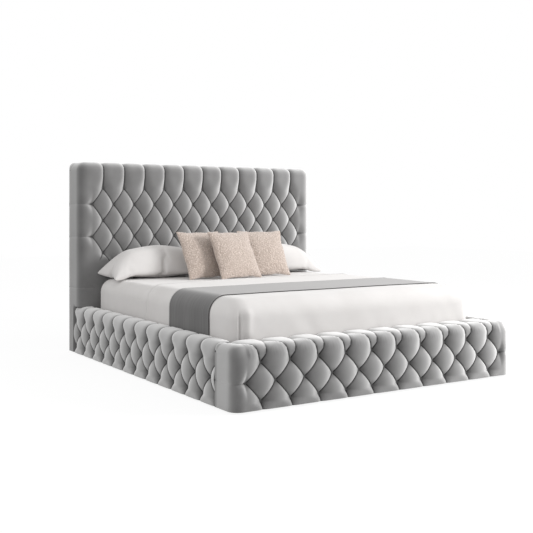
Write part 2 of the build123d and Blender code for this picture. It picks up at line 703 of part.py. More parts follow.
seam = pillow_height * 0.30
pillow_low = soft_half(pillow_width / 2, pillow_depth / 2, [
    (0.84, 0.74, -0.04, -0.08, 0),
    (0.93, 0.90, -0.01, -0.02, seam * 0.45),
    (1.0, 1.0, 0.03, 0.05, seam),
])
pillow_high = soft_half(pillow_width / 2, pillow_depth / 2, [
    (1.0, 1.0, 0.03, 0.05, seam),
    (0.94, 0.93, -0.01, -0.02, seam + (pillow_height - seam) * 0.34),
    (0.82, 0.78, -0.05, -0.07, seam + (pillow_height - seam) * 0.68),
    (0.62, 0.54, -0.08, -0.11, seam + (pillow_height - seam) * 0.90),
    (0.36, 0.28, -0.08, -0.09, pillow_height),
])
pillow = pillow_low.fuse(pillow_high).solids()[0]
pillow_x = pillow_inset + pillow_width / 2
pillow_y = head_crest_y - pillow_back_gap - pillow_depth / 2
save(Pos(pillow_x, pillow_y, sheet_top + rest_clearance) * pillow, "pillow_right")
save(Pos(-pillow_x, pillow_y, sheet_top + rest_clearance) * mirrored(pillow), "pillow_left")

cushion_steps = [
    (1.0, 1.0, 0.05, 0.05, 0),
    (0.93, 0.93, -0.01, -0.01, cushion_depth / 2 * 0.42),
    (0.80, 0.80, -0.05, -0.05, cushion_depth / 2 * 0.74),
    (0.58, 0.58, -0.09, -0.09, cushion_depth / 2 * 0.93),
    (0.32, 0.32, -0.08, -0.08, cushion_depth / 2),
]
cushion_face = soft_half(cushion_size / 2, cushion_size / 2, cushion_steps)
cushion = cushion_face.fuse(mirror(cushion_face, about=Plane.XY)).solids()[0]
cushion_spots = {
    "cushion_left": (-218.0, 518.5, 8.0),
    "cushion_middle": (-20.0, 631.5, 9.0),
    "cushion_right": (286.0, 516.5, -4.0),
}
for name, (x, from_head, turn) in cushion_spots.items():
    standing = Pos(0, cushion_size / 2, 0) * cushion
    leaning = Rot(90 - cushion_lean, 0, 0) * standing
    placed = Pos(x, head_crest_y - from_head, 0) * Rot(0, 0, turn) * leaning
    lift = sheet_top + rest_clearance - placed.bounding_box().min.Z
    save(Pos(0, 0, lift) * placed, name)
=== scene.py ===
import math

import bmesh
import bpy
from mathutils import Matrix, Vector, noise


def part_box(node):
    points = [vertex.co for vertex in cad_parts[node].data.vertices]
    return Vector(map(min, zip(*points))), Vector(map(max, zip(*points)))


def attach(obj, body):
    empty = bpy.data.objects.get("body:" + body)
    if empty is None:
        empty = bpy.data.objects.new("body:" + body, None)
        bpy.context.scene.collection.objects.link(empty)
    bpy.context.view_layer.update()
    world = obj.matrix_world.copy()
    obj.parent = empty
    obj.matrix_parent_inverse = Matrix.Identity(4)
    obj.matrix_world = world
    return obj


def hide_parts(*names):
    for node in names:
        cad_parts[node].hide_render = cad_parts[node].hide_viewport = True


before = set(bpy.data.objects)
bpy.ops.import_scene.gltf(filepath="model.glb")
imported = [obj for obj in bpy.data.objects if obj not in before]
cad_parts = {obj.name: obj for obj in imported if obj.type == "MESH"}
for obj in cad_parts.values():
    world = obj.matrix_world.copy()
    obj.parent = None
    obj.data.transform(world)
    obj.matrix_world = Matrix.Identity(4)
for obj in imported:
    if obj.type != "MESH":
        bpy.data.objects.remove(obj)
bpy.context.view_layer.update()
quarter = math.pi / 2
same_place = 1e-5
weld = 2e-5


def corners_of(node):
    """Lowest and highest corner of a piece's solid, to a tenth of a millimetre."""
    low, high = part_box(node)
    return [round(v, 4) for v in low], [round(v, 4) for v in high]


def add_piece(name, data):
    """Puts a mesh, a lamp or a camera into the scene."""
    piece = bpy.data.objects.new(name, data)
    bpy.context.scene.collection.objects.link(piece)
    return piece


def face_out(mesh, outside, welded):
    """Turns all faces outwards, once points that share a place are welded, where asked."""
    form = bmesh.new()
    form.from_mesh(mesh)
    if welded:
        bmesh.ops.remove_doubles(form, verts=form.verts, dist=weld)
        bmesh.ops.dissolve_degenerate(form, edges=form.edges, dist=same_place)
    bmesh.ops.recalc_face_normals(form, faces=form.faces)
    if sum(face.normal.dot(outside) * face.calc_area() for face in form.faces) < 0:
        bmesh.ops.reverse_faces(form, faces=form.faces)
    form.to_mesh(mesh)
    form.free()


def make_active(piece):
    """Leaves one piece selected, for the tool that is run next."""
    bpy.ops.object.select_all(action="DESELECT")
    piece.select_set(True)
    bpy.context.view_layer.objects.active = piece


# Surfaces: a material mixes two close tones by soft noise, and most take their relief from it too.
# The noise lies in the piece's own coordinates, in metres.
evenly = (1, 1, 1)
tone_ends = (0.32, 0.68)


def surface(name):
    """A new material with its tree of nodes and its shader."""
    made = bpy.data.materials.new(name)
    made.use_nodes = True
    return made, made.node_tree, made.node_tree.nodes["Principled BSDF"]


def tune(node, values):
    for name, value in values.items():
        node.inputs[name].default_value = value


def own_place(tree):
    return tree.nodes.new("ShaderNodeTexCoord").outputs["Object"]


def cloud_at(tree, place, scale, detail):
    """Soft noise, from 0 to 1."""
    cloud = tree.nodes.new("ShaderNodeTexNoise")
    tune(cloud, {"Scale": scale, "Detail": detail})
    tree.links.new(place, cloud.inputs["Vector"])
    return cloud.outputs["Fac"]


def work_out(tree, operation, first, second):
    """One operation on two values, each of them a node's output or a number."""
    node = tree.nodes.new("ShaderNodeMath")
    node.operation = operation
    for socket, value in zip(node.inputs, (first, second)):
        if isinstance(value, float):
            socket.default_value = value
        else:
            tree.links.new(value, socket)
    return node.outputs["Value"]


def mix_shaders(tree, share, first, second, output):
    """Two shaders mixed by a share, as the last step of the tree."""
    mix = tree.nodes.new("ShaderNodeMixShader")
    tree.links.new(share, mix.inputs["Fac"])
    tree.links.new(first, mix.inputs[1])
    tree.links.new(second, mix.inputs[2])
    tree.links.new(mix.outputs["Shader"], tree.nodes[output].inputs["Surface"])


def two_tones(tree, share, ends, tones):
    """A colour that goes from one tone to the other as the share goes from end to end."""
    ramp = tree.nodes.new("ShaderNodeValToRGB")
    for element, end, tone in zip(ramp.color_ramp.elements, ends, tones):
        element.position = end
        element.color = (*tone, 1)
    tree.links.new(share, ramp.inputs["Fac"])
    return ramp.outputs["Color"]


def mottle(tree, stretch, scale, detail, dark, light):
    """Two tones mixed by noise, which is finer along a way with a larger stretch."""
    turn = tree.nodes.new("ShaderNodeMapping")
    turn.inputs["Scale"].default_value = stretch
    tree.links.new(own_place(tree), turn.inputs["Vector"])
    cloud = cloud_at(tree, turn.outputs["Vector"], scale, detail)
    return two_tones(tree, cloud, tone_ends, (dark, light)), cloud


def relief(tree, shader, height, strength, depth):
    """Raises and sinks the surface by a height from 0 to 1 over the depth."""
    bump = tree.nodes.new("ShaderNodeBump")
    tune(bump, {"Strength": strength, "Distance": depth})
    tree.links.new(height, bump.inputs["Height"])
    tree.links.new(bump.outputs["Normal"], shader.inputs["Normal"])
    return bump


def mottled(name, stretch, scale, detail, dark, light, strength, depth, rough):
    """A material whose colour and relief both follow one noise."""
    made, tree, shader = surface(name)
    colour, cloud = mottle(tree, stretch, scale, detail, dark, light)
    tree.links.new(colour, shader.inputs["Base Color"])
    relief(tree, shader, cloud, strength, depth)
    shader.inputs["Roughness"].default_value = rough
    return made, shader


def dress(made, *nodes):
    """Gives one material to pieces that are shown as their solids are."""
    for node in nodes:
        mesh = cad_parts[node].data
        mesh.materials.clear()
        mesh.materials.append(made)


# Frame timber: planed softwood boards, plates, studs, ledges and the centre beam, screwed together.
# Plywood makes the headboard front and the slats are bent birch, all left plain under the cover.
def timber(name, stretch, dark, light, rough):
    """Wood whose grain runs along the way with the least stretch."""
    return mottled(name, stretch, 6.0, 6.0, dark, light, strength=0.25, depth=0.0006, rough=rough)[0]


def pine(lie, stretch):
    return timber(f"pine_{lie}", stretch, (0.46, 0.30, 0.15), (0.64, 0.46, 0.27), rough=0.62)


with_grain = 0.7
over_grain = 14
pine_along = pine("along", (over_grain, with_grain, over_grain))
pine_across = pine("across", (with_grain, over_grain, over_grain))
pine_upright = pine("upright", (over_grain, over_grain, with_grain))
ply = timber("plywood", (0.9, 9, 6), (0.50, 0.36, 0.21), (0.66, 0.52, 0.34), rough=0.58)
birch = timber("bent_birch", (0.8, 12, 40), (0.60, 0.45, 0.28), (0.74, 0.60, 0.42), rough=0.42)
dress(pine_along, "rail_board_left", "rail_board_right", "slat_ledge_left", "slat_ledge_right",
      "centre_beam")
dress(pine_across, "headboard_bottom_plate", "headboard_top_plate", "headboard_cross_rail",
      "footboard_cap_board", "footboard_inner_board", "footboard_outer_board")
dress(pine_upright, "headboard_leg_left", "headboard_leg_right", "headboard_studs", "footboard_spacers")
dress(ply, "headboard_front_board")
dress(birch, "slats_left", "slats_right")


# Fixings: zinc-plated brackets, bolts, nuts and inserts, and black painted centre legs and hangers.
# They hold the rails to the headboard legs and the footboard.
zinc, shader = mottled("zinc_steel", evenly, 60.0, 4.0, (0.48, 0.49, 0.50), (0.66, 0.67, 0.68),
                       strength=0.1, depth=0.0003, rough=0.38)
shader.inputs["Metallic"].default_value = 1.0
dress(zinc, "corner_bracket_left", "corner_bracket_right", "rail_bracket_bolts", "footboard_bracket_bolts",
      "footboard_bracket_nuts", "headboard_leg_plates", "headboard_leg_bolts", "rail_threaded_inserts")

black_steel = mottled("black_steel", evenly, 220.0, 3.0, (0.018, 0.018, 0.019), (0.034, 0.034, 0.035),
                      strength=0.2, depth=0.0003, rough=0.48)[0]
dress(black_steel, "centre_beam_hangers", "centre_legs")

black_plastic = mottled("black_plastic", evenly, 340.0, 2.0, (0.020, 0.020, 0.021), (0.030, 0.030, 0.031),
                        strength=0.15, depth=0.0002, rough=0.55)[0]
dress(black_plastic, "slat_holders_left", "slat_holders_right", "slat_holders_centre", "floor_glides",
      "centre_leg_glides")


# Headboard back: a thin panel covered in dark woven lining cloth, stapled over the frame.
# The weave is a fine over-and-under grid.
lining, tree, shader = surface("back_cloth")
colour = mottle(tree, evenly, 30.0, 4.0, (0.060, 0.060, 0.062), (0.085, 0.085, 0.088))[0]
tree.links.new(colour, shader.inputs["Base Color"])
threads = []
for way in ("X", "Z"):
    thread = tree.nodes.new("ShaderNodeTexWave")
    thread.bands_direction = way
    thread.inputs["Scale"].default_value = 240.0
    tree.links.new(own_place(tree), thread.inputs["Vector"])
    threads.append(thread.outputs["Fac"])
relief(tree, shader, work_out(tree, "ADD", *threads), strength=0.3, depth=0.0004)
shader.inputs["Roughness"].default_value = 0.92
dress(lining, "headboard_back_panel")


# Velvet: a short grey pile, pale where it is seen edge-on, with shade painted into its colour along the folds
# and round the buttons.
# That painted shade, and painted light on the tops, is a value stored on the mesh of each cover.
def with_painted_shade(tree, painted_node, socket):
    """Scales a colour by the painted light and shade stored on the mesh: painted shade darkens the folds."""
    scaled = tree.nodes.new("ShaderNodeVectorMath")
    scaled.operation = "SCALE"
    scaled.inputs[0].default_value = socket.default_value[:3]
    tree.links.new(painted_node.outputs["Fac"], scaled.inputs["Scale"])
    tree.links.new(scaled.outputs["Vector"], socket)
    return scaled


def pile_sheen(tree, shader, colour, power):
    """Cloth with a pile shines pale where it is seen edge-on and stays dark where it faces the eye."""
    facing = tree.nodes.new("ShaderNodeLayerWeight")
    facing.inputs["Blend"].default_value = 0.5
    edge_on = work_out(tree, "POWER", facing.outputs["Facing"], power)
    pale = tree.nodes.new("ShaderNodeBsdfDiffuse")
    pale.inputs["Color"].default_value = (*colour, 1)
    mix_shaders(tree, edge_on, shader.outputs["BSDF"], pale.outputs["BSDF"], "Material Output")
    return pale


velvet, tree, shader = surface("grey_velvet")
colour = mottle(tree, evenly, 7.0, 3.0, (0.160, 0.158, 0.157), (0.192, 0.190, 0.189))[0]
# Painted light and shade: the stored value darkens the base colour in the folds, round the buttons, at the
# seams and on the headboard's flanks, and less so on the tops.
painted_node = tree.nodes.new("ShaderNodeAttribute")
painted_node.attribute_name = "painted_light_and_shade"
toned = with_painted_shade(tree, painted_node, shader.inputs["Base Color"])
tree.links.new(colour, toned.inputs[0])
relief(tree, shader, cloud_at(tree, own_place(tree), 900.0, 2.0), strength=0.25, depth=0.0006)
tune(shader, {"Roughness": 0.85, "Specular IOR Level": 0.15, "Sheen Weight": 0.1, "Sheen Roughness": 0.45,
              "Sheen Tint": (1.0, 0.99, 0.98, 1)})
pale = pile_sheen(tree, shader, (0.92, 0.915, 0.91), 1.55)
# The pale edge-on colour takes the same painted shade.
with_painted_shade(tree, painted_node, pale.inputs["Color"])

# The buttons are covered in the same grey velvet: this darker copy without the pale edge-on colour is painted
# shade in the pits they sit in.
shaded_button_velvet = mottled("shaded_button_velvet", evenly, 300.0, 2.0, (0.045, 0.045, 0.045), (0.065, 0.064, 0.064),
                        strength=0.2, depth=0.0004, rough=0.9)[0]


# Buttoning: a flat net is folded round the padded box and stuffed between its buttons.
# Heights and painted shade are shares of the whole, widths are in metres.
fold_detail = 18
even_share = 0.35
wall_draw = 1.25
button_seat = 0.06
crease_rise = 0.42
crease_power = 0.50
wall_power = 0.42
dome_power = 0.85
wall_share = 0.3
# Painted shade: how dark the folds and the pits round the buttons are painted, where the cover is too plain
# for it, how wide the painted shade is at the seams, and how much painted light the tops get.
fold_painted_shade = 0.16
fold_width = 0.27
pit_painted_shade = 0.5
plain_from = 0.85
plain_power = 6
plain_reach = 0.060
seam_width = 0.014
top_painted_light = 0.75
uneven = 0.05
uneven_scale = 5.2
fullest = 1.02
turn_slack = 5e-3


def ease(t):
    """Goes smoothly from 0 to 1."""
    t = min(max(t, 0.0), 1.0)
    return t * t * (3 - 2 * t)


def steps_between(start, end, count):
    """Places after the start in even steps, with the end as the last."""
    return [start + (end - start) * (i + 1) / count for i in range(count)]


def strip(near, *parts):
    """Places away from the buttons: those given near them, then even steps to one end after another."""
    places = list(near)
    start = places[-1]
    for end, count in parts:
        places += steps_between(start, end, count)
        start = end
    return places


def from_row(row, *steps):
    """Places a few steps away from a row of buttons, to a tenth of a millimetre."""
    return [round(row + step, 4) for step in steps]


def spaced(count):
    """Shares from 0 to 1 that lie closer together near both ends, where the cloth is folded."""
    even = [i / count for i in range(count + 1)]
    return [even_share * t + (1 - even_share) * (0.5 - 0.5 * math.cos(math.pi * t)) for t in even]


def drawn_in(t):
    """Pulls a share of the way between two folds towards the nearer fold, where the cloth stands steep."""
    return 0.5 * (2 * t) ** wall_draw if t < 0.5 else 1 - 0.5 * (2 - 2 * t) ** wall_draw


def buttoned_net(rows, tufted, pitch, low, high, below, above, beyond):
    """Flat net of a deep-buttoned panel. Its folds run along edges of the net from button to button.
    Each point carries how far it is from the two nearest folds, from 0 on the fold to 1 between folds,
    how far it is from the nearest button and how far it is outside the buttoned area."""
    steps = spaced(fold_detail)
    swell = [math.sin(math.pi * t) for t in steps]
    steps = [drawn_in(t) for t in steps]
    slack = 1e-6
    points = {}
    faces = []

    def put(x, s, pair):
        key = (round(x, 5), round(s, 5))
        reach = [math.hypot(x - start - round((x - start) / pitch) * pitch, s - row)
                 for row, start in rows[:tufted]]
        points.setdefault(key, (pair[0], pair[1], min(reach), max(low - x, x - high, 0.0)))
        return key

    def extend(line, places, move):
        for place in places:
            after = [move(key, place) for key in line]
            faces.extend([line[i], line[i + 1], after[i + 1], after[i]] for i in range(len(line) - 1))
            line = after

    for (s0, start0), (s1, start1) in zip(rows, rows[1:]):
        for tip, base, start in ((s1, s0, start1), (s0, s1, start0)):
            first = math.ceil((low - start) / pitch - slack)
            last = math.floor((high - start) / pitch + slack)
            for column in range(first, last + 1):
                middle = start + column * pitch
                grid = {}
                for i in range(fold_detail + 1):
                    for j in range(fold_detail + 1 - i):
                        x = middle + (steps[j] - steps[i]) * pitch / 2
                        if low - slack <= x <= high + slack:
                            s = tip + (base - tip) * (steps[i] + steps[j])
                            grid[i, j] = put(x, s, (swell[i], swell[j]))
                for i in range(fold_detail):
                    for j in range(fold_detail - i):
                        ring = [(i, j), (i + 1, j), (i + 1, j + 1), (i, j + 1)]
                        corners = [grid[c] for c in ring if c in grid]
                        if len(corners) > 2:
                            faces.append(corners)
    for edge, strip in ((rows[0][0], below), (rows[-1][0], above)):
        line = sorted(key for key in points if abs(key[1] - edge) < same_place)
        extend(line, strip, lambda key, s: put(key[0], s, points[key]))
    for edge, way in ((low, -1), (high, 1)):
        line = sorted((key for key in points if abs(key[0] - edge) < same_place), key=lambda key: key[1])
        extend(line, beyond, lambda key, reach: put(edge + way * reach, key[1], points[key]))
    return points, faces


def puff(pair, flat):
    """Share of the full stuffing height: least at the buttons, more along the folds, most between them.
    The cloth stands steep beside a fold and is domed above it; flat narrows the fold to a thin line."""
    a, b = max(pair[0], 0.0), max(pair[1], 0.0)
    body = wall_share * (a * b) ** wall_power + (1 - wall_share) * (a * b) ** dome_power
    crease = (a * a + b * b - a * a * b * b) ** crease_power
    height = button_seat + (1 - button_seat) * ((1 - crease_rise) * body + crease_rise * crease)
    return 1 - (1 - height) ** (1 + 3 * flat)


def painted_share(pair, raised, pit_width):
    """Share of its full brightness that the painted shade leaves: dark along the folds and round the buttons.
    Where the cover is nearly plain, no shade is painted."""
    plain = max(min(raised / plain_from, 1.0) ** plain_power, ease(pair[3] / plain_reach))
    fold = fold_painted_shade + (1 - fold_painted_shade) * ease(min(pair[0], pair[1]) / fold_width)
    pit = pit_painted_shade + (1 - pit_painted_shade) * ease(pair[2] / pit_width)
    return plain + (1 - plain) * fold * pit


def wrap(x, s, shape):
    """Where a point of the net lies on the padded box: across, depth and height, and which way it faces.
    None where the top and the side would both claim the corner."""
    edge, bend, run, side, inner = [shape[key] for key in ("edge", "bend", "run", "side", "inner")]
    if s <= edge:
        depth, up, tilt = 0.0, s, 0.0
    elif s <= edge + bend * quarter:
        tilt = (s - edge) / bend
        depth, up = bend * (1 - math.cos(tilt)), edge + bend * math.sin(tilt)
    elif s <= edge + bend * quarter + run:
        tilt = quarter
        depth, up = bend + s - edge - bend * quarter, edge + bend
    else:
        beyond = s - edge - bend * quarter - run
        tilt = quarter + min(beyond / inner, quarter)
        drop = max(beyond - inner * quarter, 0.0)
        depth = bend + run + inner * math.sin(tilt - quarter)
        up = edge + bend - inner + inner * math.cos(tilt - quarter) - drop
    face = Vector((0, -math.cos(tilt), math.sin(tilt)))
    if abs(x) <= side:
        return Vector((x, depth, up)), face
    way = Vector((math.copysign(1, x), 0, 0))
    turn = (abs(x) - side) / bend
    round_end = bend if tilt <= quarter else inner
    if turn <= quarter + turn_slack:
        centre = Vector((math.copysign(side + bend - round_end, x), depth, up)) - face * round_end
        normal = face * math.cos(turn) + way * math.sin(turn)
        return centre + normal * round_end, normal
    if s > edge + bend * quarter:
        return None
    back = abs(x) - side - bend * quarter
    return Vector((math.copysign(side + bend, x), bend + back, min(s, edge))), way


def cover(name, net, shape, lift, to_world, body, node):
    """Stuffs a flat net into a buttoned cover and sets it on the bed."""
    points, faces = net
    first, last = shape["span"]
    bottom = shape["bottom"]
    places = {}
    painted_light_and_shade = []
    for (x, s), pair in points.items():
        under = max(bottom - s, first - x, x - last)
        raised = lift(x, s)
        found = wrap(min(max(x, first), last), max(s, bottom), shape)
        if found is None:
            continue
        spot, normal = found
        stuffing = shape["front"] * normal.y ** 2 + shape["flank"] * normal.x ** 2
        stuffing += shape["top"] * normal.z ** 2
        stuffing *= 1 - max(normal.y, 0.0)
        share = raised + (1 - raised) * puff(pair, raised)
        height = stuffing * share * min(1 + uneven * noise.noise(spot * uneven_scale), fullest)
        if under > same_place:
            height = -under
        places[x, s] = to_world(spot + normal * height)
        # Painted light and shade: darker towards the ends where covers meet, in the folds, round the buttons
        # and on the headboard's flanks, and less dark on the tops.
        seam = shape["seam"] + (1 - shape["seam"]) * ease(min(x - first, last - x) / seam_width)
        side = 1 - (1 - shape["flank_painted_shade"]) * normal.x ** 2
        painted_dark = 1 - seam * painted_share(pair, raised, shape["pit"])
        painted_dark *= 1 - top_painted_light * max(normal.z, 0.0) ** 2
        painted_light_and_shade.append(side * (1 - painted_dark))
    order = {key: i for i, key in enumerate(places)}
    mesh = bpy.data.meshes.new(name)
    kept = [[order[c] for c in face] for face in faces if all(c in order for c in face)]
    mesh.from_pydata(list(places.values()), [], kept)
    mesh.attributes.new("painted_light_and_shade", "FLOAT", "POINT").data.foreach_set("value", painted_light_and_shade)
    face_out(mesh, to_world(Vector((0, -1, 0))) - to_world(Vector((0, 0, 0))), welded=True)
    mesh.shade_smooth()
    piece = add_piece(name, mesh)
    mesh.materials.append(velvet)
    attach(piece, body)
    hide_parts(node)


# Headboard cover: grey velvet over deep foam, drawn in by rows of covered buttons.
# The folds run from button to button, up over the top edge and out across the plain wings.
head_low = corners_of("headboard_cover")[0]
head_front = 0.040
head_face = round(head_low[1] + head_front, 4)
head_pitch = 0.168
head_odd = round(-5 * head_pitch, 4)
head_even = round(-5.5 * head_pitch, 4)
first_row = 0.6265
row_pitch = 0.1205
head_rows = [round(first_row + i * row_pitch, 4) for i in range(6)]
head_run = 0.146
head_side = 0.967
head_edge = 1.360
head_round = 0.025
head_bend = head_round * quarter
head_tuck = 0.016
head_reach = head_side + head_bend + head_run
head_depth = 0.175
head_bottom = 0.012
# Painted shade darkens the headboard's flanks to two thirds of their brightness.
head_shape = {"edge": head_edge, "bend": head_round, "run": head_run, "inner": 0.004, "side": head_side,
              "bottom": head_bottom, "front": head_front, "flank": 0.0415, "top": 0.0365,
              "span": (-head_reach, head_reach), "seam": 1.0, "flank_painted_shade": 0.66, "pit": 0.026}
wing_flat = round(head_side + head_even, 4)
wing_foot = 0.352
wing_tuck = 0.330
wing_draw = 0.05
wing_blend = 0.085
wing_plain = 0.88
over_blend = 0.105
over_plain = 0.45
lower_blend = 0.070
lower_side = 0.800
lower_slope = 0.55
lower_side_blend = 0.060
wing_seam = 0.490
seam_depth = 0.10
seam_half = 0.005
apron_foot = head_low[2]
apron_side = 0.914
back_strip = 0.112
back_edge = head_reach - back_strip
back_return = 0.070
head_over = head_edge + head_bend
head_back = head_over + head_run
head_above = strip(from_row(head_rows[-1], 0.003, 0.009, 0.018), (head_edge, 8), (head_over, 5),
                   (head_back, 8), (head_back + head_tuck, 3))
wing_turn = wing_flat + head_bend
wing_back = wing_turn + head_run
head_beyond = strip([0.003, 0.008, 0.016, 0.026, wing_flat], (wing_turn, 5), (wing_back, 8),
                    (wing_back + head_tuck, 1))
seam_steps = from_row(wing_seam, 0.007, 0.003, 0, -0.003, -0.007)
head_below = strip(from_row(head_rows[0], -0.0045, -0.0145, -0.0315), (seam_steps[0], 5)) + seam_steps[1:]
head_below = strip(head_below, (wing_foot, 7)) + [wing_tuck, apron_foot, 0.20, 0.10, head_bottom]


def head_lift(x, s):
    """How plain the cover is: the folds are deep at the buttons and shallow on the wings and over the top."""
    beside = ease((abs(x) + head_even) / wing_blend)
    over = ease((s - head_rows[-1]) / over_blend)
    fall = head_rows[1] - s
    lower = ease(fall / lower_blend) * ease((abs(x) - lower_side + fall * lower_slope) / lower_side_blend)
    seam = seam_depth * max(0.0, 1 - abs(s - wing_seam) / seam_half)
    return 1 - (1 - wing_plain * beside) * (1 - over_plain * over) * (1 - lower) - seam


def head_shown(face):
    """The wings stop above the rails, tucked down a little at the front. The apron goes lower between the
    rails, and the back edge goes to the floor."""
    lowest = min(s for x, s in face) + 1e-4
    nearest = min(abs(x) for x, s in face)
    farthest = max(abs(x) for x, s in face)
    if lowest > wing_foot or nearest > back_edge:
        return True
    if farthest < head_side and lowest > wing_tuck:
        return True
    return farthest < apron_side and lowest > apron_foot


def head_place(p):
    """Sets the cover against the wall; beside the rails the front edge of its side is tucked in."""
    tucked = p.z < wing_foot - 0.001 and abs(p.x) > apron_side and p.y < back_return
    draw = math.copysign(wing_draw if tucked else 0.0, p.x)
    return Vector((p.x - draw, head_face + min(p.y, head_depth), p.z))


head_starts = [(s, head_even if i % 2 == 0 else head_odd) for i, s in enumerate(head_rows)]
head_points, head_faces = buttoned_net(head_starts, len(head_rows), head_pitch, head_even, -head_even,
                                       head_below, head_above, head_beyond)
head_net = head_points, [face for face in head_faces if head_shown(face)]
cover("headboard_velvet", head_net, head_shape, head_lift, head_place, "bed_frame", "headboard_cover")
dress(shaded_button_velvet, "headboard_buttons")


# Side rails: the same buttoned velvet over foam on the rail boards, folded over the top to the mattress.
# Three rows of buttons, and a fold from each puff over the top edge.
rail_low, rail_high = corners_of("rail_cover_left")
rail_front = 0.034
rail_face = round(-rail_low[0] - rail_front, 4)
rail_start = rail_low[1]
rail_end = rail_high[1]
rail_bottom = rail_low[2]
rail_pitch = (rail_end - rail_start) / 12.5
rail_edge = 0.303
rail_bend = 0.022
rail_turn = rail_bend * quarter
rail_run = 0.036
rail_tuck = 0.05
no_side = 9.0
# Painted shade darkens the rail and footboard covers towards their ends, where covers meet.
rail_shape = {"edge": rail_edge, "bend": rail_bend, "run": rail_run, "inner": rail_bend, "side": no_side,
              "bottom": rail_bottom, "front": rail_front, "flank": rail_front, "top": 0.030,
              "span": (rail_start, rail_end), "seam": 0.35, "flank_painted_shade": 1.0, "pit": 0.048}
low_row = 0.052
middle_row = 0.1535
top_row = 0.255
rail_rows = [(low_row, rail_start), (middle_row, rail_start + rail_pitch / 2), (top_row, rail_start)]
rail_top = rail_edge + rail_turn
rail_inside = rail_top + rail_run
rail_above = strip(from_row(top_row, 0.003, 0.008, 0.017, 0.032) + [rail_edge], (rail_top, 5),
                   (rail_inside, 3), (rail_inside + rail_turn, 4), (rail_inside + rail_turn + rail_tuck, 2))
rail_below = from_row(low_row, -0.003, -0.008, -0.016, -0.026, -0.036) + [rail_bottom]
rail_below += from_row(rail_bottom, -0.025)
rail_return = 0.030
edge_plain = 0.7
over_edge = 0.070
under_edge = 0.040


def below_rows(s):
    """How plain the cover is under its lowest row of buttons."""
    return edge_plain * ease((low_row - s) / under_edge)


def rail_lift(x, s):
    """The folds fade over the top edge and below the lowest buttons."""
    over = edge_plain * ease((s - top_row) / over_edge)
    return 1 - (1 - over) * (1 - below_rows(s))


rail_net = buttoned_net(rail_rows, len(rail_rows), rail_pitch, rail_start, rail_end,
                        rail_below, rail_above, [rail_return])
for hand, way in (("left", -1), ("right", 1)):
    cover(f"rail_velvet_{hand}", rail_net, rail_shape, rail_lift,
          lambda p, way=way: Vector((way * (rail_face - p.y), p.x, p.z)), "bed_frame", f"rail_cover_{hand}")
dress(shaded_button_velvet, "rail_buttons_left", "rail_buttons_right")


# Footboard: buttoned velvet over a box of boards, with plain rounded corners that meet the rails at a seam.
# Folds run over the top to the mattress and straight down to the floor.
foot_low = corners_of("footboard_cover")[0]
foot_front = 0.038
foot_face = round(foot_low[1] + foot_front, 4)
foot_pitch = 0.189
foot_odd = round(-4.5 * foot_pitch, 4)
foot_even = round(-5 * foot_pitch, 4)
foot_run = 0.134
foot_inner = 0.006
foot_side = 0.972
foot_tuck = 0.06
foot_return = 0.04
foot_reach = foot_side + rail_turn + foot_run + foot_inner
foot_shape = {**rail_shape, "run": foot_run, "inner": foot_inner, "side": foot_side, "front": foot_front,
              "flank": foot_front, "span": (-foot_reach, foot_reach)}
fold_back = 0.105
edge_fold = rail_top + fold_back
foot_rows = [(low_row, foot_odd), (middle_row, foot_even), (top_row, foot_odd), (edge_fold, foot_even)]
foot_above = steps_between(edge_fold, rail_top + foot_run, 3)
foot_above += steps_between(foot_above[-1], foot_above[-1] + foot_inner * quarter, 3)
foot_above += steps_between(foot_above[-1], foot_above[-1] + foot_tuck, 2)
corner_flat = round(foot_side + foot_even, 4)
corner_turn = corner_flat + rail_turn
corner_back = corner_turn + foot_run + foot_inner
foot_beyond = strip([0.003, 0.008, 0.016, corner_flat], (corner_turn, 5), (corner_turn + foot_run, 6),
                    (corner_back, 1), (corner_back + foot_return, 1))
corner_blend = 0.055
corner_plain = 0.86
plain_above = 0.200
plain_below = 0.110
plain_blend = 0.040
crown_from = 0.262
crown_blend = 0.060
crown_plain = 0.25


def foot_lift(x, s):
    """The corners are plain above and below the middle row, which alone sends a fold round them."""
    beside = ease((abs(x) + foot_even) / corner_blend)
    upper = ease((s - plain_above) / plain_blend)
    lower = ease((plain_below - s) / plain_blend)
    plain = beside * max(upper, lower)
    over = crown_plain * ease((s - crown_from) / crown_blend)
    return 1 - (1 - corner_plain * beside) * (1 - plain) * (1 - over) * (1 - below_rows(s))


foot_net = buttoned_net(foot_rows, len(rail_rows), foot_pitch, foot_even, -foot_even,
                        rail_below, foot_above, foot_beyond)
cover("footboard_velvet", foot_net, foot_shape, foot_lift,
      lambda p: Vector((p.x, foot_face + p.y, p.z)), "bed_frame", "footboard_cover")
dress(shaded_button_velvet, "footboard_buttons")


# Mattress: a felt base, a pocket-spring core and a quilted comfort layer, in white ticking.
# Only the lowest edge shows below the fitted sheet, or all of it when the mattress is lifted out.
ticking, shader = mottled("mattress_ticking", evenly, 40.0, 4.0, (0.62, 0.61, 0.59), (0.74, 0.73, 0.71),
                          strength=0.3, depth=0.001, rough=0.9)
shader.inputs["Sheen Weight"].default_value = 0.2

mattress_low, mattress_high = corners_of("mattress_comfort_layer")
mattress_half = mattress_high[0]
mattress_foot = mattress_low[1]
mattress_head = mattress_high[1]
mattress_top = mattress_high[2]
plan_round = 0.100
flat_half = mattress_half - plan_round
shoulder = 0.095
corner_steps = 12
layer_steps = 12
layer_edge = 0.003
edge_draw = 0.004
core_draw = 0.002
layer_fill = {"mattress_base_layer": 0.95, "mattress_spring_core": 0.95, "mattress_comfort_layer": 0.8}


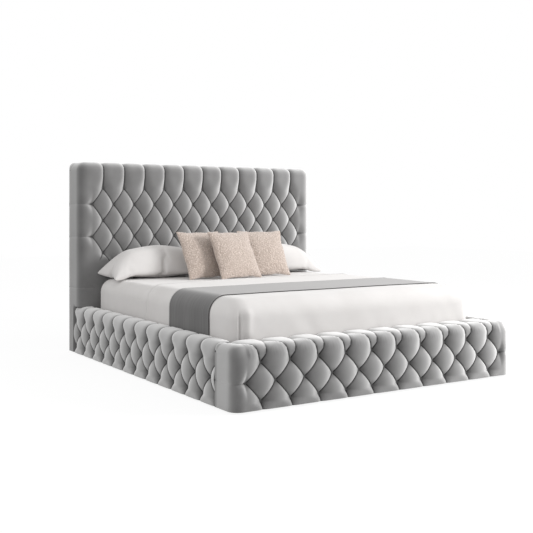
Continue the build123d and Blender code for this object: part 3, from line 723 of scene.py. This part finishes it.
def slab_ring(inset):
    """A rounded rectangle round the mattress, drawn in by the inset."""
    ring = []
    corners = ((1, 1, 0.0), (-1, 1, 0.5), (-1, -1, 1.0), (1, -1, 1.5))
    middle = (mattress_foot + mattress_head) / 2
    half_length = (mattress_head - mattress_foot) / 2
    for x_way, y_way, start in corners:
        for i in range(corner_steps + 1):
            turn = math.pi * (start + 0.5 * i / corner_steps)
            x = x_way * flat_half + (plan_round - inset) * math.cos(turn)
            y = y_way * (half_length - plan_round) + (plan_round - inset) * math.sin(turn)
            ring.append((x, middle + y))
    return ring


def shoulder_inset(z):
    """How far the rounded top edge has drawn in at a height."""
    rise = min(max(z - (mattress_top - shoulder), 0.0), shoulder)
    return shoulder - math.sqrt(shoulder * shoulder - rise * rise)


for node, fill in layer_fill.items():
    low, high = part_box(node)
    levels = [low.z, low.z + layer_edge]
    levels += steps_between(low.z + layer_edge, high.z - layer_edge, layer_steps) + [high.z]
    core = core_draw if node == "mattress_spring_core" else 0.0
    verts = []
    faces = []
    for i, z in enumerate(levels):
        edge = edge_draw if i in (0, len(levels) - 1) else 0.0
        verts += [(x, y, z) for x, y in slab_ring(shoulder_inset(z) + edge + core)]
    count = len(verts) // len(levels)
    for i in range(len(levels) - 1):
        for j in range(count):
            k = (j + 1) % count
            faces.append([i * count + j, i * count + k, (i + 1) * count + k, (i + 1) * count + j])
    faces.append(list(range(count))[::-1])
    faces.append([(len(levels) - 1) * count + j for j in range(count)])
    mesh = bpy.data.meshes.new(node.replace("mattress_", "mattress_cover_"))
    mesh.from_pydata(verts, [], faces)
    slab = add_piece(mesh.name, mesh)
    make_active(slab)
    bpy.ops.object.shade_smooth_by_angle(angle=math.radians(40))
    slab.data.materials.append(ticking)
    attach(slab, "mattress")
    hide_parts(node)


# Fitted sheet: white linen stretched over the mattress, with soft upright creases on the drop.
# It is one thin cloth with rounded corners, tucked under all round.
linen, tree, shader = surface("white_linen")
colour = mottle(tree, evenly, 5.0, 3.0, (0.615, 0.596, 0.584), (0.650, 0.632, 0.621))[0]
tree.links.new(colour, shader.inputs["Base Color"])
relief(tree, shader, cloud_at(tree, own_place(tree), 700.0, 3.0), strength=0.2, depth=0.0005)
tune(shader, {"Roughness": 0.88, "Specular IOR Level": 0.2, "Sheen Weight": 0.25, "Sheen Roughness": 0.5})

sheet_low, sheet_high = corners_of("fitted_sheet")
sheet_proud = round(sheet_high[2] - mattress_top, 4)
drop_foot = sheet_low[2]
bare_from = 0.02
bare_blend = 0.06
sheet_crease = 0.0025
sheet_fine = 0.0015
sheet_swell = 0.0010
bend_steps = 8
fall_steps = 12


def bed_cloth(name, proud, low, high, has_foot, has_head, across, along, fan, ripple, made, thickness):
    """A cloth laid over the mattress with its sides, and its ends where asked, hanging down.
    Its outer face stands proud of the mattress. Fan is the number of steps round a corner."""
    near = low + plan_round if has_foot else low
    far = high - plan_round if has_head else high
    xs = [-flat_half + 2 * flat_half * i / across for i in range(across + 1)]
    ys = [near + (far - near) * i / along for i in range(along + 1)]
    verts = []
    order = {}
    faces = []
    bend = shoulder + proud
    flat = plan_round - shoulder
    top = mattress_top + proud
    fall = top - bend - drop_foot
    profile = [(flat, 0.0, 0.0)]
    for i in range(1, bend_steps + 1):
        turn = quarter * i / bend_steps
        profile.append((flat + bend * math.sin(turn), bend * (1 - math.cos(turn)), turn))
    for i in range(1, fall_steps + 1):
        profile.append((flat + bend, bend + fall * i / fall_steps, quarter))

    def put(key, base, way, out, down, turn):
        if key not in order:
            spot = Vector((base[0] + way[0] * out, base[1] + way[1] * out, top - down))
            normal = Vector((way[0] * math.sin(turn), way[1] * math.sin(turn), math.cos(turn)))
            order[key] = len(verts)
            verts.append(ripple(spot, normal, down))
        return order[key]

    def on_top(x, y):
        return put((round(x, 5), round(y, 5)), (x, y), (0, 0), 0.0, 0.0, 0.0)

    def corner(x, y, start, end):
        for i in range(1, fan):
            turn = start + (end - start) * i / fan
            stations.append((x, y, math.cos(turn), math.sin(turn)))

    for i in range(across):
        for j in range(along):
            faces.append([on_top(xs[i], ys[j]), on_top(xs[i + 1], ys[j]),
                          on_top(xs[i + 1], ys[j + 1]), on_top(xs[i], ys[j + 1])])
    stations = [(xs[0], y, -1.0, 0.0) for y in reversed(ys)]
    right_side = [(xs[-1], y, 1.0, 0.0) for y in ys]
    runs = [stations]
    if has_foot:
        corner(xs[0], ys[0], math.pi, math.pi + quarter)
        stations += [(x, ys[0], 0.0, -1.0) for x in xs]
        corner(xs[-1], ys[0], math.pi + quarter, math.pi + 2 * quarter)
        stations += right_side
        if has_head:
            corner(xs[-1], ys[-1], 0.0, quarter)
            stations += [(x, ys[-1], 0.0, 1.0) for x in reversed(xs)]
            corner(xs[0], ys[-1], quarter, math.pi)
            stations.append(stations[0])
    else:
        runs.append(right_side)
    for run in runs:
        for pair in zip(run, run[1:]):
            ends = []
            for x, y, wx, wy in pair:
                line = [on_top(x, y)]
                for i, (out, down, turn) in enumerate(profile):
                    key = (round(x, 5), round(y, 5), round(wx, 4), round(wy, 4), i)
                    line.append(put(key, (x, y), (wx, wy), out, down, turn))
                ends.append(line)
            for i in range(len(profile)):
                ring = [ends[0][i], ends[1][i], ends[1][i + 1], ends[0][i + 1]]
                kept = [c for k, c in enumerate(ring) if c not in ring[:k]]
                if len(kept) > 2:
                    faces.append(kept)
    mesh = bpy.data.meshes.new(name)
    mesh.from_pydata(verts, [], faces)
    face_out(mesh, Vector((0, 0, 1)), welded=False)
    piece = add_piece(name, mesh)
    mesh.materials.append(made)
    make_active(piece)
    body = piece.modifiers.new("thickness", "SOLIDIFY")
    body.thickness = thickness
    body.offset = -1.0
    bpy.ops.object.modifier_apply(modifier=body.name)
    mesh.shade_smooth()
    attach(piece, "mattress")
    return piece


def wave(spot, per_x, per_y, per_z, shift):
    """Soft noise with so many waves to the metre each way. The shift gives each use its own."""
    return noise.noise(Vector((spot.x * per_x, spot.y * per_y, spot.z * per_z + shift)))


def sheet_ripple(spot, normal, down):
    """Shallow upright creases on the drop and a slow swell on the top, where the sheet is bare."""
    side = 1 - abs(normal.z)
    crease = wave(spot, 9, 9, 2.2, 0)
    fine = wave(spot, 24, 24, 4, 7)
    swell = wave(spot, 2.3, 2.3, 0, 3.1)
    bare = ease((spot.y - bare_from) / bare_blend)
    move = side * (sheet_crease * crease + sheet_fine * fine) + (1 - side) * sheet_swell * swell
    return spot + normal * bare * move


fitted = bed_cloth("fitted_linen", sheet_proud, mattress_foot, mattress_head, has_foot=True, has_head=True,
                   across=60, along=66, fan=10, ripple=sheet_ripple, made=linen,
                   thickness=0.0018)
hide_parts("fitted_sheet")


# Coverlet: a thicker white linen cover over the lower half of the bed, with a folded corner at the left foot.
# Its head edge runs slightly askew across the bed, and its drops hang to the rails.
coverlet_high = corners_of("coverlet")[1]
coverlet_proud = round(coverlet_high[2] - mattress_top, 4)
coverlet_head = coverlet_high[1]
askew_from = -0.35
drape_from = 0.05
crease_height = 0.0030
slant_height = 0.0020
swell_height = 0.0020
hem_height = 0.0065
hem_width = 0.012
hem_blend = 0.006
corner_line = 0.1106
corner_zone = 0.2
corner_start = mattress_foot + plan_round
fold_turn = math.radians(56.25)
fold_top = 0.500
fold_blend = 0.035
groove_depth = 0.014
groove_half = 0.007
pocket_depth = 0.007
flap_height = 0.004
bulge_height = 0.012
bulge_place = 0.052
bulge_width = 0.026
edge_marks = [(-1.25, 0.045), (-0.95, 0.085), (-0.735, 0.110), (-0.475, 0.215), (-0.1, 0.255), (1.3, 0.250)]


def coverlet_edge(across):
    """How far the head edge lies up the bed at each place across it."""
    for (a, fa), (b, fb) in zip(edge_marks, edge_marks[1:]):
        if across <= b:
            return fa + (fb - fa) * ease((across - a) / (b - a))
    return edge_marks[-1][1]


def long_crease(spot):
    return wave(spot, 6.5, 6.5, 2.4, 4)


def slow_swell(spot):
    return wave(spot, 2.1, 2.6, 0, 6.4)


def plateau(t, start, rise, end, fall):
    """Goes up from 0 to 1 past the start and back down past the end."""
    return ease((t - start) / rise) * (1 - ease((t - end) / fall))


def corner_fold(spot):
    """The corner is folded like a parcel: a groove, the pocket behind it, its flap and a soft bulge."""
    out = abs(spot.x) - flat_half
    up = spot.y - corner_start
    turn = math.atan2(max(-up, 0.0), max(out, 1e-6))
    along = corner_line * (turn - fold_turn) + max(-out, 0.0) - max(up, 0.0)
    groove = -groove_depth * max(0.0, 1 - abs(along) / groove_half)
    pocket = -pocket_depth * plateau(along, start=0.004, rise=0.006, end=0.035, fall=0.070)
    flap = flap_height * plateau(along, start=-0.10, rise=0.08, end=-0.008, fall=0.006)
    below = ease((fold_top - spot.z) / fold_blend)
    bulge = bulge_height * math.exp(-((along - bulge_place) / bulge_width) ** 2)
    bulge *= plateau(spot.z, start=0.345, rise=0.05, end=0.490, fall=fold_blend)
    return below * (groove + pocket + flap) + bulge


def coverlet_ripple(spot, normal, down):
    """Creases on the drops, a swell on the top, the corner fold, and a thick hem along the head edge."""
    side = 1 - abs(normal.z)
    across = spot.x - math.copysign(max(down - drape_from, 0.0), spot.x)
    slant = noise.noise(Vector((spot.x * 11 + spot.z * 7, spot.y * 9 - spot.z * 5, 9.0)))
    move = side * (crease_height * long_crease(spot) + slant_height * slant)
    move += (1 - side) * swell_height * slow_swell(spot)
    if spot.y < corner_start + corner_zone and spot.x < corner_zone - flat_half:
        move += corner_fold(spot)
    move += hem_height * (1 - ease((coverlet_head - spot.y - hem_width) / hem_blend))
    spot = spot + normal * move
    if spot.y > askew_from:
        share = (spot.y - askew_from) / (coverlet_head - askew_from)
        spot.y = askew_from + share * (coverlet_edge(across) - askew_from)
    return spot


coverlet = bed_cloth("coverlet_linen", coverlet_proud, mattress_foot, coverlet_head, has_foot=True,
                     has_head=False, across=120, along=70, fan=24, ripple=coverlet_ripple, made=linen,
                     thickness=0.006)
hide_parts("coverlet")


# Bed runner: a grey satin-woven band with a narrow dark hem, laid across the coverlet.
# It hangs down both sides to the rails, and follows the creases of the coverlet under it.
satin, shader = mottled("runner_cloth", (0.5, 22, 0.5), 8.0, 3.0, (0.028, 0.027, 0.027),
                        (0.070, 0.069, 0.068), strength=0.25, depth=0.0008, rough=0.62)
tune(shader, {"Sheen Weight": 0.3, "Sheen Roughness": 0.30})
pile_sheen(satin.node_tree, shader, (0.52, 0.512, 0.508), 2.8)
runner_low, runner_high = corners_of("bed_runner")
runner_proud = 0.0150
runner_foot = runner_low[1]
runner_head = runner_high[1]
runner_hem = 0.0016
runner_hem_width = 0.006
runner_hem_blend = 0.003
runner_waver = 0.004


def runner_ripple(spot, normal, down):
    """The creases and the swell of the coverlet, a raised hem, and long edges that are not quite straight."""
    side = 1 - abs(normal.z)
    from_edge = min(spot.y - runner_foot, runner_head - spot.y)
    hem = runner_hem * (1 - ease((from_edge - runner_hem_width) / runner_hem_blend))
    move = side * crease_height * long_crease(spot) + (1 - side) * swell_height * slow_swell(spot) + hem
    lifted = spot + normal * move
    lifted.y += runner_waver * noise.noise(Vector((spot.x * 3.0, spot.z * 3.0, 1.7)))
    return lifted


runner = bed_cloth("runner_cloth", runner_proud, runner_foot, runner_head, has_foot=False, has_head=False,
                   across=90, along=56, fan=6, ripple=runner_ripple, made=satin,
                   thickness=0.0022)
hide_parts("bed_runner")


# Pillows: two plump white linen cases, sewn along the edge, with pointed corners.
# Each is two flat pieces of cloth sewn together and stuffed until it stands full.
def sewn_case(name, width, length, across, along, rise):
    """Two flat layers sewn round the edge, ready to be stuffed."""
    verts = []
    order = {}
    faces = []

    def key_of(layer, i, j):
        rim = i in (0, across) or j in (0, along)
        return (0 if rim else layer, i, j)

    for layer in (1, -1):
        for i in range(across + 1):
            for j in range(along + 1):
                key = key_of(layer, i, j)
                if key not in order:
                    u = 2 * i / across - 1
                    v = 2 * j / along - 1
                    dome = key[0] * rise * ((1 - u * u) * (1 - v * v)) ** 0.5
                    order[key] = len(verts)
                    verts.append((u * width / 2, v * length / 2, dome))
    for layer in (1, -1):
        for i in range(across):
            for j in range(along):
                ring = [(i, j), (i + 1, j), (i + 1, j + 1), (i, j + 1)]
                corners = [order[key_of(layer, a, b)] for a, b in ring]
                faces.append(corners if layer > 0 else corners[::-1])
    mesh = bpy.data.meshes.new(name)
    mesh.from_pydata(verts, [], faces)
    return add_piece(name, mesh)


def stuff(piece, pressure, frames, stiffness, bending, square):
    """Blows the sewn case up until the cloth pulls tight and puckers along the seam.
    Square is the share of its cut shape that a firm filling holds on to."""
    cut = [vert.co.copy() for vert in piece.data.vertices]
    scene = bpy.context.scene
    work = piece.modifiers.new("stuffing", "CLOTH")
    cloth = work.settings
    cloth.quality = 6
    cloth.mass = 0.3
    cloth.tension_stiffness = stiffness
    cloth.compression_stiffness = stiffness
    cloth.shear_stiffness = stiffness * 0.5
    cloth.bending_stiffness = bending
    cloth.air_damping = 4.0
    cloth.use_pressure = True
    cloth.uniform_pressure_force = pressure
    cloth.effector_weights.gravity = 0.0
    work.collision_settings.use_self_collision = False
    work.point_cache.frame_start = 1
    work.point_cache.frame_end = frames
    for step in range(1, frames + 1):
        scene.frame_set(step)
    make_active(piece)
    bpy.ops.object.modifier_apply(modifier=work.name)
    scene.frame_set(1)
    blown = [vert.co.copy() for vert in piece.data.vertices]
    full = max(spot.z for spot in blown) / max(spot.z for spot in cut)
    for vert, flat, puffed in zip(piece.data.vertices, cut, blown):
        flat.z *= full
        vert.co = puffed.lerp(flat, square)


def fit_to(piece, size):
    """Brings the stuffed case to its finished width, depth and height, about its own middle."""
    spots = [vert.co.copy() for vert in piece.data.vertices]
    low = Vector([min(spot[axis] for spot in spots) for axis in range(3)])
    high = Vector([max(spot[axis] for spot in spots) for axis in range(3)])
    middle = (low + high) / 2
    for vert, spot in zip(piece.data.vertices, spots):
        vert.co = Vector([(spot[axis] - middle[axis]) * size[axis] / (high[axis] - low[axis])
                          for axis in range(3)])


def smooth_once(piece, levels):
    make_active(piece)
    work = piece.modifiers.new("smooth", "SUBSURF")
    work.levels = levels
    work.render_levels = levels
    bpy.ops.object.modifier_apply(modifier=work.name)
    piece.data.shade_smooth()


pillow_seat = 0.5628
pillow_crown = 0.66
pillow_belly = 0.34
front_droop = 0.030
front_from = 0.45
front_blend = 0.5
end_droop = 0.045
end_from = 0.55
end_blend = 0.45
seat_crown = 0.0004
for hand, way in (("left", -1), ("right", 1)):
    node = f"pillow_{hand}"
    low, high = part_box(node)
    pillow = sewn_case(f"pillow_case_{hand}", width=0.92, length=0.50, across=56, along=30, rise=0.045)
    stuff(pillow, pressure=5.0, frames=26, stiffness=12.0, bending=0.12, square=0.15)
    fit_to(pillow, high - low)
    middle = (low + high) / 2
    tall = high.z - low.z
    seam = low.z + pillow_belly * tall
    for vert in pillow.data.vertices:
        u = vert.co.x / (high.x - low.x) * 2 * way
        v = vert.co.y / (high.y - low.y) * 2
        z = vert.co.z / tall * 2
        rise = (pillow_crown * z if z > 0 else pillow_belly * z) * tall
        droop = front_droop * ease((-v - front_from) / front_blend)
        droop += end_droop * ease((u - end_from) / end_blend)
        spot = Vector((middle.x + vert.co.x, middle.y + vert.co.y, seam + rise - droop))
        spot.z = max(spot.z, pillow_seat + seat_crown * (1 - abs(u)))
        vert.co = spot
    smooth_once(pillow, 1)
    pillow.data.materials.append(linen)
    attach(pillow, node)
    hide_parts(node)


# Scatter cushions: three square cushions in looped beige cloth, leaning on the pillows.
# The loops are a curly pile a few millimetres across.
boucle, tree, shader = surface("boucle")
loops = tree.nodes.new("ShaderNodeTexVoronoi")
tune(loops, {"Scale": 92.0, "Randomness": 1.0})
tree.links.new(own_place(tree), loops.inputs["Vector"])
curl = cloud_at(tree, own_place(tree), 260.0, 3.0)
hollows = work_out(tree, "ADD", loops.outputs["Distance"], curl)
# Painted shade: the colour goes from the beige of the cloth on the loops to a darker brown deep in the
# hollows between them.
colour = two_tones(tree, hollows, (0.45, 1.0), ((0.71, 0.61, 0.55), (0.405, 0.327, 0.278)))
tree.links.new(colour, shader.inputs["Base Color"])
relief(tree, shader, hollows, strength=0.8, depth=0.0025).invert = True
tune(shader, {"Roughness": 0.95, "Sheen Weight": 0.5, "Sheen Roughness": 0.6})

cushion_lean = math.radians(27)
cushion_size = 0.390
cushion_depth = 0.104
cushion_curls = ((110, 0.0022), (260, 0.0010))
cushion_spots = {
    "cushion_left": (-0.218, 0.488, 8),
    "cushion_middle": (-0.020, 0.375, 9),
    "cushion_right": (0.286, 0.490, -4),
}
for node, (x, y, turn) in cushion_spots.items():
    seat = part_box(node)[0].z
    cushion = sewn_case(node.replace("cushion_", "cushion_case_"), width=0.45, length=0.45, across=40,
                        along=40, rise=0.03)
    stuff(cushion, pressure=5.0, frames=22, stiffness=14.0, bending=0.4, square=0.65)
    fit_to(cushion, (cushion_size, cushion_size, cushion_depth))
    smooth_once(cushion, 2)
    tip = Matrix.Rotation(math.radians(turn), 4, "Z") @ Matrix.Rotation(quarter - cushion_lean, 4, "X")
    stand = Vector((0, cushion_size / 2, 0))
    spots = []
    for vert in cushion.data.vertices:
        curls = sum(height * noise.noise(vert.co * scale) for scale, height in cushion_curls)
        spots.append(tip @ (vert.co + vert.normal * curls + stand) + Vector((x, y, 0)))
    drop = seat - min(spot.z for spot in spots)
    for vert, spot in zip(cushion.data.vertices, spots):
        vert.co = spot + Vector((0, 0, drop))
    cushion.data.materials.append(boucle)
    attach(cushion, node)
    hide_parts(node)


# Room: a plain pale floor, soft lamps and the camera at the height of a standing viewer's waist.
# The background is white to the camera and the floor keeps a faint shadow.
bpy.ops.object.select_all(action="DESELECT")
bpy.ops.mesh.primitive_plane_add(size=30, location=(0, 0, -0.0005))
floor = bpy.context.object
floor.name = "floor"
floor_paint, tree, shader = surface("floor_paint")
tune(shader, {"Base Color": (0.42, 0.42, 0.42, 1), "Roughness": 0.9})
rays = tree.nodes.new("ShaderNodeLightPath")
seen = work_out(tree, "MULTIPLY", rays.outputs["Is Camera Ray"], 0.75)
white = tree.nodes.new("ShaderNodeEmission")
white.inputs["Strength"].default_value = 1.20
mix_shaders(tree, seen, shader.outputs["BSDF"], white.outputs["Emission"], "Material Output")
floor.data.materials.append(floor_paint)

world = bpy.data.worlds.new("studio")
bpy.context.scene.world = world
world.use_nodes = True
tree = world.node_tree
back = tree.nodes["Background"]
tune(back, {"Color": (1, 1, 1, 1), "Strength": 0.74})
plain = tree.nodes.new("ShaderNodeBackground")
tune(plain, {"Color": (1, 1, 1, 1), "Strength": 1.0})
rays = tree.nodes.new("ShaderNodeLightPath")
shown = work_out(tree, "MAXIMUM", rays.outputs["Is Camera Ray"], rays.outputs["Is Glossy Ray"])
shown = work_out(tree, "MAXIMUM", shown, rays.outputs["Is Transmission Ray"])
mix_shaders(tree, shown, back.outputs["Background"], plain.outputs["Background"], "World Output")


def lamp(name, spot, aim, size, watts):
    data = bpy.data.lights.new(name, "AREA")
    data.shape = "DISK"
    data.size = size
    data.energy = watts
    made = add_piece(name, data)
    made.location = spot
    made.rotation_euler = (Vector(aim) - Vector(spot)).to_track_quat("-Z", "Y").to_euler()


lamp("key_light", spot=(4.2, -4.0, 2.6), aim=(0, 0, 0.5), size=2.6, watts=315)
lamp("right_fill", spot=(4.6, -0.6, 2.4), aim=(0, 0.6, 0.8), size=1.6, watts=70)
lamp("left_fill", spot=(-5.0, -1.0, 2.5), aim=(0, 0, 0.4), size=2.5, watts=52)

photo_width = 533
focal_pixels = 865.1
horizon_row = 212.2
sensor_width = 36
camera_spot = (-3.284, -5.0656, 1.0494)
camera_turn = -0.568
camera_data = bpy.data.cameras.new("camera")
camera_data.sensor_width = sensor_width
camera_data.lens = focal_pixels / photo_width * sensor_width
camera_data.shift_y = -(photo_width / 2 - horizon_row) / photo_width
camera = add_piece("camera", camera_data)
camera.location = camera_spot
camera.rotation_euler = (quarter, 0, camera_turn)
bpy.context.scene.camera = camera
bpy.context.scene.view_settings.view_transform = "Standard"
